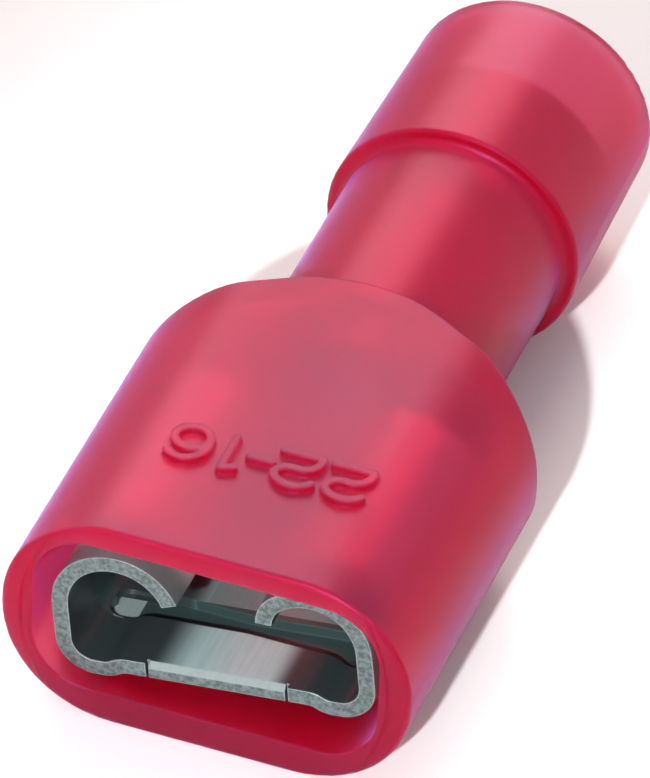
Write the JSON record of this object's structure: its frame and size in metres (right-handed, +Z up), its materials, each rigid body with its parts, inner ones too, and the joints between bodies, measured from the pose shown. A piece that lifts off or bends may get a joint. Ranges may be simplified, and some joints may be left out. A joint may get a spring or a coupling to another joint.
{
  "type": "female spade terminal",
  "caption": "Fully insulated female push-on terminal: flat oval translucent shroud over a rolled tinned receptacle, with a round neck and a crimp entry for a small wire.",
  "frame": {"origin": "middle of the mouth's flat face, on the axis of the neck and wire entry", "axes": "+Y runs from the mouth to the wire end, +X across the width, +Z up out of the numbered face"},
  "size_m": [0.0098, 0.0217, 0.0062],
  "materials": {
    "housing": "translucent red nylon with a satin, softly frosted surface",
    "contact": "brass strip plated with bright tin, fine lengthwise drawing lines",
    "crimp_sleeve": "drawn tube plated with tin"
  },
  "bodies": {
    "root": {"housing": "housing", "contact": "contact", "crimp_sleeve": "crimp_sleeve"}
  },
  "joints": []
}
